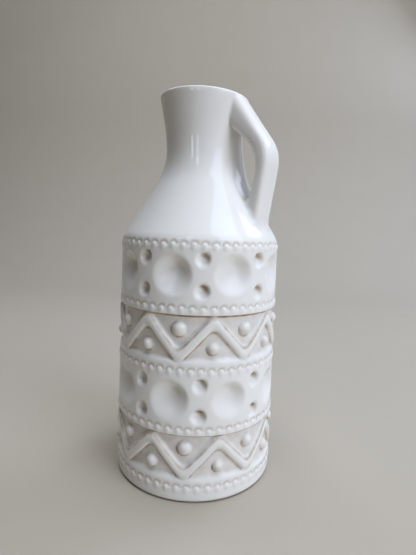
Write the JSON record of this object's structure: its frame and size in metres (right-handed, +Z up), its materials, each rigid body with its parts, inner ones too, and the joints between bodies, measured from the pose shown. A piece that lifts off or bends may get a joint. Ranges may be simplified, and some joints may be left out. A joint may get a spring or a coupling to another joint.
{
  "type": "ceramic jug vase",
  "caption": "Tall cylindrical glazed ceramic vase with relief bands, a conical shoulder, a flared neck and a strap handle from lip to shoulder.",
  "frame": {"origin": "middle of the foot, on the surface that the vase stands on", "axes": "+Z up along the vase's axis, +X towards the handle"},
  "size_m": [0.1118, 0.1118, 0.2509],
  "materials": {
    "glazed_body": "glossy cream-white glaze, breaking tan over the relief's edges",
    "glazed_handle": "glossy cream-white glaze"
  },
  "bodies": {
    "root": {"vessel_body": "glazed_body", "handle": "glazed_handle"}
  },
  "joints": []
}
